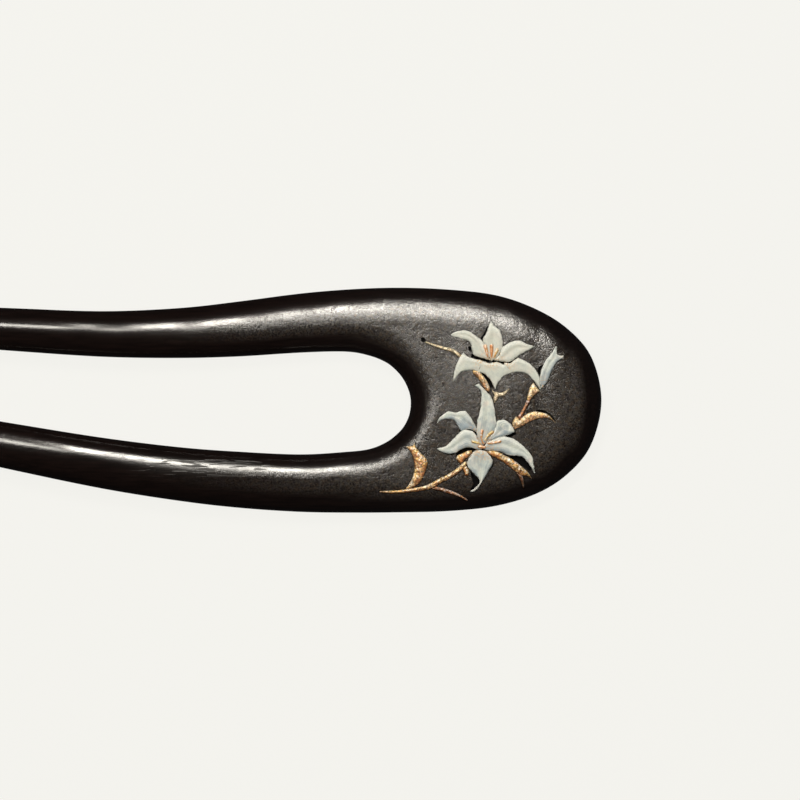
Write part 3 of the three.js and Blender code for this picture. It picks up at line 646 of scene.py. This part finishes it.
def gilt_material(name, light, middle, deep, darkness=0.75):
    """Gilt laid in flakes over a dark ground, with painted light: lighter along the far, upper side, and
    coppery and darker along the near, lower side as painted shade.
    """
    n = Nodes(name)
    side, tone_shift = n.attribute("side"), n.attribute("tone")
    place = n.place()
    flakes = n.node("ShaderNodeTexVoronoi", {"Vector": place, "Scale": 1 / (0.34 * MM)}).outputs
    speck = n.noise(place, 0.38, roughness=0.75)
    patch = n.noise(place, 0.9, detail=2)
    pale = tuple(0.35 * c + 0.6 for c in light)
    tone = n.plus(n.times(speck, 0.4), flakes["Color"], 0.6)
    # the far, upper side is lifted toward the pale end: painted light
    tone = n.plus(tone, side, 0.14)
    colour = n.ramp(tone, (0.26, middle), (0.48, light), (0.76, pale))
    # random reddish patches, plus more red along the near, lower side as painted shade
    reddish_and_shade = n.ramp(n.plus(patch, side, -0.22), (0.42, 0.0), (0.7, 1.0))
    # dark pits at random, a few more of them along the near, lower side as painted shade
    pits = n.ramp(n.plus(speck, side, 0.05), (0.455, 1.0), (0.525, 0.0))
    layers = (
        (n.times(reddish_and_shade, 0.8), middle),
        (n.clamp(tone_shift), BARE_METAL),
        (n.times(pits, darkness), deep),
        (n.clamp(n.times(tone_shift, -1.0)), deep),
    )
    for cover, tint in layers:
        colour = n.mix(cover, colour, tint)
    relief = n.bump(n.plus(speck, flakes["Distance"]), 0.08, strength=0.6)
    return n.set(Base_Color=colour, Metallic=0.22, Roughness=0.42, Normal=relief)


# ---- the wood ------------------------------------------------------------------------------------
def section_shares(length, slot_round):
    """Where a cross-section's points lie, as shares of the way from the outer edge to the slot."""
    outer = min(OUTER_ROUND / length, MOST_OUTER_POINTS)
    slot = min(slot_round / length, MOST_SLOT_POINTS)
    turn = np.linspace(0, math.pi / 2, EDGE_STEPS + 1)
    flat = np.linspace(outer, 1 - slot, FLAT_STEPS, endpoint=False)
    return np.concatenate([outer * (1 - np.cos(turn[:-1])), flat, 1 - slot * (1 - np.sin(turn))])


def grid_faces(count, size, columns):
    """Quads over some columns of a grid of points that runs round the fork's section."""
    faces = []
    for row in range(0, (count - 1) * size, size):
        for j in columns:
            k = (j + 1) % size
            faces.append((row + j, row + k, row + size + k, row + size + j))
    return faces


def pocket_rims():
    """The rims of the pockets in plan, read from the CAD part's pocket floors."""
    bm = cad_mesh("fork_body")
    centres = np.array([f.calc_center_median()[:] for f in bm.faces])
    upward = np.array([f.normal.z > POCKET_FLOOR for f in bm.faces])
    depth = np.zeros(len(centres))
    depth[upward] = front_z(centres[upward, :2]) - centres[upward, 2]
    floor = {f for f, deep in zip(bm.faces, depth) if deep > PLATE_DEPTH / 2}
    chains = closed_chains([e for e in bm.edges if sum(f in floor for f in e.link_faces) == 1])
    bm.free()
    return [smooth_outline(c[:, :2]) for c in chains if abs(signed_area(c[:, :2])) > SMALLEST_ISLAND]


def directed_edges(faces):
    return {(a, b) for face in faces for a, b in zip(face, (*face[1:], face[0]))}


def border(faces):
    """The directed edges that only one face uses."""
    used = directed_edges(faces)
    return [(a, b) for a, b in used if (b, a) not in used]


def triangles_between(points, edges):
    """Counterclockwise triangles over some points in plan, with the given edges kept."""
    made = geometry.delaunay_2d_cdt([Vector(p) for p in points], edges, [], 0, 1e-7)
    plan = np.array([p[:] for p in made[0]])
    faces = [tuple(f) if signed_area(plan[list(f)]) > 0 else tuple(f[::-1]) for f in made[2]]
    return plan, faces, [from_input[0] if from_input else None for from_input in made[3]]


def cut_pockets(points, front):
    """Replaces the front's quads near the pockets by rims, walls and floors.

    Returns all points, the whole quads, the triangles round the pockets, and the walls and floors.
    """
    rims = pocket_rims()
    rim_start, rim_end = round_loops(*rims)
    used = np.array(sorted({i for face in front for i in face}))
    plan = points[:, :2]
    from_rim = np.full(len(points), np.inf)
    from_rim[used] = distance_to(plan[used], rim_start, rim_end)
    touched = from_rim < RIM_REACH
    touched[used] |= inside(plan[used], rim_start, rim_end)
    near = [face for face in front if any(touched[i] for i in face)]
    whole = [face for face in front if not any(touched[i] for i in face)]

    edge = border(near)
    on_edge = {i for pair in edge for i in pair}
    free = {i for face in near for i in face if from_rim[i] > RIM_CLEAR} - on_edge
    kept = [*sorted(on_edge), *sorted(free)]
    place = {i: k for k, i in enumerate(kept)}
    lines = [(place[a], place[b]) for a, b in edge]
    first = len(kept)
    for rim in rims:
        lines.extend((first + k, first + (k + 1) % len(rim)) for k in range(len(rim)))
        first += len(rim)
    found, triangles, source = triangles_between(np.vstack([plan[kept], rim_start]), lines)

    centres = np.array([found[list(t)].mean(0) for t in triangles])
    edge_start, edge_end = (plan[[pair[k] for pair in edge]] for k in (0, 1))
    in_patch = inside(centres, edge_start, edge_end)
    in_pocket = inside(centres, rim_start, rim_end)
    upper = [t for t, patch, pocket in zip(triangles, in_patch, in_pocket) if patch and not pocket]
    lower = [t for t, patch, pocket in zip(triangles, in_patch, in_pocket) if patch and pocket]
    walls = directed_edges(lower) & {(b, a) for a, b in directed_edges(upper)}

    base = len(points)
    height = front_z(found)
    tops = np.column_stack([found, height])
    floors = np.column_stack([found, height - PLATE_DEPTH - GLUE])
    for k, i in enumerate(source):
        if i is not None and i < len(kept):
            tops[k] = points[kept[i]]
    number = [
        kept[i] if i is not None and i < len(kept) else base + k
        for k, i in enumerate(source)
    ]
    below = base + len(found)
    round_pockets = [tuple(number[i] for i in t) for t in upper]
    cut = [tuple(below + i for i in t) for t in lower]
    cut += [(number[a], number[b], below + b, below + a) for a, b in walls]
    return np.vstack([points, tops, floors]), whole, round_pockets, cut


def face_normals(plan):
    """The direction of the polished face at some points in plan, from its slope."""
    step = SLOPE_STEP
    slope_x = (front_z(plan + (step, 0)) - front_z(plan - (step, 0))) / (2 * step)
    slope_y = (front_z(plan + (0, step)) - front_z(plan - (0, step))) / (2 * step)
    normals = np.column_stack([-slope_x, -slope_y, np.ones(len(plan))])
    return normals / np.linalg.norm(normals, axis=1)[:, None]


def make_fork(polished, cut_wood):
    """The fork as rings round the U, closed by a point at each tip, with its pockets cut."""
    rings = []
    slot_rounds = slot_rounding(slot_edge[1:-1, :2])
    for outer, slot, slot_round in zip(outer_edge[1:-1, :2], slot_edge[1:-1, :2], slot_rounds):
        shares = section_shares(np.linalg.norm(outer - slot), slot_round)[:, None]
        rings.append(outer + (slot - outer) * shares)
    count, across = len(rings), len(rings[0])
    front = np.concatenate(rings)
    back = np.concatenate([ring[1:-1][::-1][::BACK_STEPS] for ring in rings])
    front = np.column_stack([front, front_z(front)]).reshape(count, across, 3)
    back = np.column_stack([back, back_z(back)]).reshape(count, -1, 3)
    grid = np.concatenate([front, back], axis=1)
    size = grid.shape[1]
    points = np.vstack([grid.reshape(-1, 3), outer_edge[[0, -1]]])
    first_tip, last_tip, last = len(points) - 2, len(points) - 1, (count - 1) * size
    behind = grid_faces(count, size, range(across - 1, size))
    behind += [(first_tip, (j + 1) % size, j) for j in range(size)]
    behind += [(last_tip, last + j, last + (j + 1) % size) for j in range(size)]

    points, whole, round_pockets, cut = cut_pockets(points, grid_faces(count, size, range(across - 1)))
    faces = behind + whole + round_pockets + cut
    used = np.unique([i for face in faces for i in face])
    renumbered = np.zeros(len(points), int)
    renumbered[used] = np.arange(len(used))
    faces = [tuple(int(renumbered[i]) for i in face) for face in faces]
    fork = new_object("ebony_fork", points[used], faces, polished)
    mesh = fork.data
    mesh.materials.append(cut_wood)
    for polygon in mesh.polygons[len(faces) - len(cut):]:
        polygon.material_index = 1
    shade(fork, FORK_CREASE)
    normals = np.zeros((len(mesh.loops), 3))
    first = mesh.polygons[len(behind) + len(whole)].loop_start
    corners = np.arange(first, first + 3 * len(round_pockets))
    vertex = np.array([mesh.loops[int(c)].vertex_index for c in corners])
    normals[corners] = face_normals(points[used][vertex, :2])
    mesh.normals_split_custom_set([tuple(n) for n in normals])
    finish_piece(fork, "fork_body")


# ---- sheets: everything that is inlaid -----------------------------------------------------------
def spread(outline, distance):
    """An outline moved outward by a small distance."""
    along = np.roll(outline, -1, axis=0) - np.roll(outline, 1, axis=0)
    along /= np.maximum(np.linalg.norm(along, axis=1), 1e-9)[:, None]
    return outline + distance * np.column_stack([along[:, 1], -along[:, 0]])


def filled(outline, spacing):
    """Triangles over an outline: its own points first, then a regular filling."""
    low, high = outline.min(0), outline.max(0)
    rows = np.arange(low[1], high[1], spacing * math.sqrt(0.75))
    grid = np.array([
        (x + (spacing / 2 if i % 2 else 0), y)
        for i, y in enumerate(rows)
        for x in np.arange(low[0], high[0], spacing)
    ])
    grid = grid[inside(grid, *round_loops(outline))]
    if len(grid):
        grid = grid[distance_to(grid, *round_loops(outline)) > spacing * FILL_CLEAR]
    else:
        grid = grid.reshape(0, 2)
    count = len(outline)
    edges = [(i, (i + 1) % count) for i in range(count)]
    points, faces, _ = triangles_between(np.vstack([outline, grid]), edges)
    kept = inside(np.array([points[list(f)].mean(0) for f in faces]), *round_loops(outline))
    return points, [f for f, keep in zip(faces, kept) if keep]


def sheet(name, material, outline, relief, bottom, spacing, attributes):
    """A closed plate: an upper face whose height above the wood is relief(points), walls and an underside."""
    points, faces = filled(outline, spacing)
    wood = front_z(points)
    top = np.column_stack([points, wood + relief(points)])
    under = np.column_stack([points, wood + bottom])
    count = len(points)
    walls = [(a, a + count, b + count, b) for a, b in border(faces)]
    underside = [tuple(i + count for i in face[::-1]) for face in faces]
    obj = new_object(name, np.vstack([top, under]), faces + walls + underside, material)
    for key, values in attributes(points).items():
        layer = obj.data.attributes.new(key, "FLOAT", "POINT")
        layer.data.foreach_set("value", np.tile(values, 2).astype(np.float32))
    shade(obj, SHEET_CREASE)
    return obj


def rim_fields(points, outline, joined=()):
    """For each point: its distance to the rim, and whether the far (1) or the near (-1) rim is closer.

    The parts of the rim where the piece is joined to another outline do not count.
    """
    start, end = round_loops(outline)
    if joined:
        free = distance_to((start + end) / 2, *round_loops(*joined)) > JOINT_REACH
        start, end = start[free], end[free]
    far = (start - end)[:, 0] > 0  # the outline runs counterclockwise, so its far side runs toward -X
    to_far = distance_to(points, start[far], end[far])
    to_near = distance_to(points, start[~far], end[~far])
    rim = np.minimum(to_far, to_near)
    return rim, (to_near - to_far) / np.maximum(to_near + to_far, 1e-6)


def petal_fields(outline, heart, cool, joined):
    """How far along, across and inside a petal each point lies."""
    away = np.linalg.norm(outline - heart, axis=1)
    root, tip = int(away.argmin()), int(away.argmax())
    turned = np.roll(outline, -root, axis=0)
    split = (tip - root) % len(outline)
    right = turned[: split + 1]
    left = np.vstack([turned[split:], turned[:1]])

    def fields(points):
        to_left = distance_to(points, *along_line(left))
        to_right = distance_to(points, *along_line(right))
        from_root = np.linalg.norm(points - outline[root], axis=1)
        from_tip = np.linalg.norm(points - outline[tip], axis=1)
        rim, side = rim_fields(points, outline, joined)
        return {
            "along": from_root / np.maximum(from_root + from_tip, 1e-6),
            "across": (to_left - to_right) / np.maximum(to_left + to_right, 1e-6),
            "rim": rim,
            "side": side,
            "cool": np.full(len(points), cool),
        }

    return fields


def hand_cut(outline):
    """An outline with the small unevenness that a piercing saw leaves."""
    uneven = np.array([noise.noise(Vector((x, y, 0)) * SAW_WAVES) for x, y in outline])
    return spread(outline, SAW_DEPTH * uneven[:, None])


def make_petal(node, heart, cool, material):
    """A shell petal: rounded toward its rim, with a groove along the middle and its tip curled up."""
    outline = hand_cut(spread(smooth_outline(top_outline(node)), PLATE_SPREAD))
    joined = [top_outline(other) for other in JOINED if node in JOINED and other != node]
    fields = petal_fields(outline, heart, cool, joined)
    groove_depth = JOINED_GROOVE if joined else PETAL_GROOVE

    def relief(points):
        at = fields(points)
        edge = PETAL_EDGE * rounding(at["rim"] / PETAL_EDGE)
        dome = PETAL_DOME_HEIGHT * rounding(at["rim"] / PETAL_DOME_WIDTH)
        groove = groove_depth * np.exp(-((at["across"] / GROOVE_WIDTH) ** 2))
        groove *= np.clip(at["rim"] / GROOVE_FROM_RIM, 0, 1) * np.sin(math.pi * np.clip(at["along"], 0, 1))
        curl = PETAL_CURL * np.clip((at["along"] - CURL_FROM) / (1 - CURL_FROM), 0, 1)
        return edge + dome - groove + curl

    name = node.replace("petal", "shell")
    obj = sheet(name, material, outline, relief, -PLATE_DEPTH, PETAL_SPACING, fields)
    finish_piece(obj, node)


def metal_fields(node, outline):
    """Where each point of a gilt piece lies, and how much lighter (1) or darker (-1) it is than the rest."""
    start, end = TONES.get(node, (0.0, 0.0))
    reach = np.linalg.norm(outline, axis=1)
    near, far = outline[reach.argmin()], outline[reach.argmax()]

    def fields(points):
        rim, side = rim_fields(points, outline)
        from_near = np.linalg.norm(points - near, axis=1)
        from_far = np.linalg.norm(points - far, axis=1)
        outward = from_near / np.maximum(from_near + from_far, 1e-6)
        return {"rim": rim, "side": side, "tone": start + (end - start) * outward}

    return fields


def make_leaf(node, material):
    """A gilt leaf or bract: a raised rib down the middle and a hammered surface."""
    outline = spread(smooth_outline(top_outline(node)), PLATE_SPREAD)
    fields = metal_fields(node, outline)

    def relief(points):
        rim = fields(points)["rim"]
        hammered = np.array([noise.noise(Vector((x, y, 0)) * LEAF_DENT_WAVES) for x, y in points])
        dents = LEAF_DENT * hammered * np.clip(rim / LEAF_DENTS_FROM_RIM, 0, 1)
        return PROUD * rounding(rim / LEAF_EDGE) + LEAF_RIB * np.clip(rim, 0, 1) + dents

    obj = sheet(node + "_gilt", material, outline, relief, -PLATE_DEPTH, LEAF_SPACING, fields)
    finish_piece(obj, node)


def make_stem(node, material):
    """A stem: half round, with small knots and dents along it."""
    outline = spread(smooth_outline(top_outline(node), STEM_OUTLINE_SPACING), PLATE_SPREAD)
    fields = metal_fields(node, outline)
    half = fields(filled(outline, STEM_OUTLINE_SPACING)[0])["rim"].max()

    def relief(points):
        rim = fields(points)["rim"]
        dents = np.array([noise.noise(Vector((x, y, 3)) * STEM_DENT_WAVES) for x, y in points])
        return (PROUD + STEM_RISE + STEM_DENT * dents) * rounding(rim / half)

    obj = sheet(node + "_wire", material, outline, relief, -PLATE_DEPTH, STEM_SPACING, fields)
    finish_piece(obj, node)


def make_stamen(node, material):
    """A stamen laid over the petals: a thin thread that swells into its anther."""
    outline = smooth_outline(top_outline(node), STAMEN_OUTLINE_SPACING)
    fields = metal_fields(node, outline)
    half = fields(filled(outline, STAMEN_OUTLINE_SPACING)[0])["rim"].max()

    def relief(points):
        fullness = STAMEN_FULLNESS * np.sqrt(half) * rounding(fields(points)["rim"] / half)
        return PROUD + STAMEN_RISE + fullness

    obj = sheet(node + "_wire", material, outline, relief, PROUD - STAMEN_SINK, STAMEN_SPACING, fields)
    finish_piece(obj, node)


# ---- all the pieces ------------------------------------------------------------------------------
def flower_hearts():
    """The middle of each flower in plan, where its petals' roots meet."""
    hearts = {}
    for flower, node in (
        ("lower", "lower_lily_pistil"),
        ("upper", "upper_lily_middle_stamen"),
        ("bud", "bud_calyx"),
    ):
        low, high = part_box(node)
        hearts[flower] = np.array(((low + high) / 2).xy) / MM
    low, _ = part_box("upper_lily_middle_stamen")
    hearts["upper"][1] = low.y / MM  # this lily is seen from its side, so its heart is at the stamens' foot
    return hearts


def make_pieces():
    """One piece for every node of the record, each in the material of its slot."""
    make_fork(ebony_material(), cut_wood_material())
    shell = shell_material()
    metals = {
        "gilt": gilt_material("gilt", GOLD, RUST, UMBER),
        "copper": gilt_material("copper", COPPER, DARK_COPPER, UMBER, 0.65),
    }
    anthers = {
        "gilt": gilt_material("yellow_anther", YELLOW, OCHRE, RUST, 0.55),
        "copper": gilt_material("orange_anther", ORANGE, BURNT_ORANGE, RUST, 0.5),
    }
    hearts = flower_hearts()
    leaves = ("leaf", "bract", "calyx", "twig")
    for part in frame["record"]["subparts"]:
        node, slot = part["node"], part["material_slot"]
        if slot == "shell":
            flower = node.split("_")[0]
            make_petal(node, hearts[flower], COOLEST.get(node, COOLNESS[flower]), shell)
        elif "stamen" in node or "pistil" in node:
            make_stamen(node, anthers[slot])
        elif slot in metals and node.endswith(leaves):
            make_leaf(node, metals[slot])
        elif slot in metals:
            make_stem(node, metals[slot])


# ---- the studio ----------------------------------------------------------------------------------
def floor_material():
    """Pale for the camera, but nearly black to everything else, so that the dark wood stays dark."""
    n = Nodes("pale_floor")
    glow = n.node("ShaderNodeEmission", {"Color": (*PALE, 1), "Strength": FLOOR_GLOW})
    matt = n.node("ShaderNodeBsdfDiffuse", {"Color": (*(c * FLOOR_MATT for c in PALE), 1)})
    seen = n.node("ShaderNodeAddShader", {0: glow.outputs[0], 1: matt.outputs[0]})
    rays = n.node("ShaderNodeLightPath")
    choice = n.node("ShaderNodeMixShader", {0: rays.outputs["Is Camera Ray"]})
    n.tree.links.new(matt.outputs[0], choice.inputs[1])
    n.tree.links.new(seen.outputs[0], choice.inputs[2])
    n.tree.links.new(choice.outputs[0], n.tree.nodes["Material Output"].inputs["Surface"])
    return n.material


def make_floor():
    bpy.ops.mesh.primitive_plane_add(size=FLOOR_SIZE, location=(0, 0, -FLOOR_GAP))
    floor = bpy.context.object
    floor.name = "floor"
    floor.data.materials.append(floor_material())
    floor.visible_glossy = False


def make_surroundings():
    """The studio's walls: as pale as the floor to the camera, and dim in the polished wood."""
    world = bpy.data.worlds.new("studio")
    bpy.context.scene.world = world
    world.use_nodes = True
    nodes, links = world.node_tree.nodes, world.node_tree.links
    path = nodes.new("ShaderNodeLightPath")
    pick = nodes.new("ShaderNodeMix")
    pick.data_type = "RGBA"
    links.new(path.outputs["Is Camera Ray"], pick.inputs[0])
    pick.inputs[6].default_value = (*DIM, 1)
    pick.inputs[7].default_value = (*(c * FLOOR_GLOW for c in PALE), 1)
    links.new(pick.outputs[2], nodes["Background"].inputs["Color"])


def lamp(name, place, size, watts, colour):
    """A soft rectangular lamp, pointed at the fork."""
    light = bpy.data.lights.new(name, "AREA")
    light.shape = "RECTANGLE"
    light.size, light.size_y = size
    light.energy = watts
    light.color = colour
    obj = bpy.data.objects.new(name, light)
    obj.location = place
    obj.rotation_euler = (Vector(LIGHTS_POINT_AT) - Vector(place)).to_track_quat("-Z", "Y").to_euler()
    obj.visible_camera = False
    bpy.context.scene.collection.objects.link(obj)
    return obj


def make_lights():
    """Two strips that the polished wood mirrors, and two lamps that it does not."""
    lamp("prong_strip", place=(-0.188, 0.165, 0.52), size=(0.275, 0.055), watts=1.6, colour=WARM_LIGHT)
    band = lamp("head_strip", place=(-0.0105, 0.315, 0.46), size=(0.057, 0.13), watts=2.55, colour=WARM_LIGHT)
    band.visible_diffuse = False  # it only makes the bright band along the top of the head
    key = lamp("key", place=(-0.03, 0.24, 0.5), size=(0.2, 0.13), watts=1.55, colour=WARM_LIGHT)
    key.visible_glossy = False
    fill = lamp("fill", place=(-0.03, -0.05, 0.6), size=(0.5, 0.4), watts=0.5, colour=COOL_LIGHT)
    fill.visible_glossy = False


def make_camera():
    """Straight above the fork, a long way off, with the prongs running out of the picture to the left."""
    camera = bpy.data.cameras.new("camera")
    obj = bpy.data.objects.new("camera", camera)
    camera.sensor_width = SENSOR_WIDTH
    camera.lens = SENSOR_WIDTH * (CAMERA_PLACE[2] - FACE_HEIGHT) / SEEN_WIDTH
    camera.clip_start, camera.clip_end = 0.05, 20
    obj.location = CAMERA_PLACE
    bpy.context.scene.collection.objects.link(obj)
    bpy.context.scene.camera = obj


make_pieces()
make_floor()
make_surroundings()
make_lights()
make_camera()
bpy.context.scene.view_settings.view_transform = "Standard"
